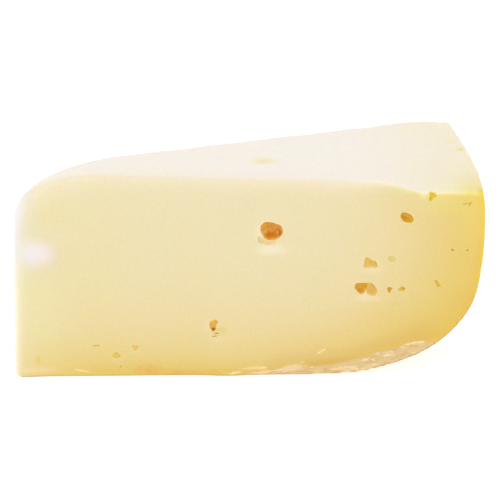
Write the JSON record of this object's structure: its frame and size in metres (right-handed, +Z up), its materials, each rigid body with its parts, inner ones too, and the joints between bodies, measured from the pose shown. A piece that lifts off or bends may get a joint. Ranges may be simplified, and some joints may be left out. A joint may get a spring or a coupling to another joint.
{
  "type": "cheese wedge",
  "caption": "Wedge of semi-hard yellow cheese with round eyes, cut from the lower part of a wheel, lying on its flat base with the rind curving up at its wide end.",
  "frame": {"origin": "centre of the bounding box's footprint, on the flat base that the wedge rests on", "axes": "+X from the tip towards the rind, -Y out of the front cut, +Z up"},
  "size_m": [0.1594, 0.053, 0.077],
  "materials": {
    "cheese": "satin"
  },
  "bodies": {
    "root": {"cheese_wedge": "cheese"}
  },
  "joints": []
}
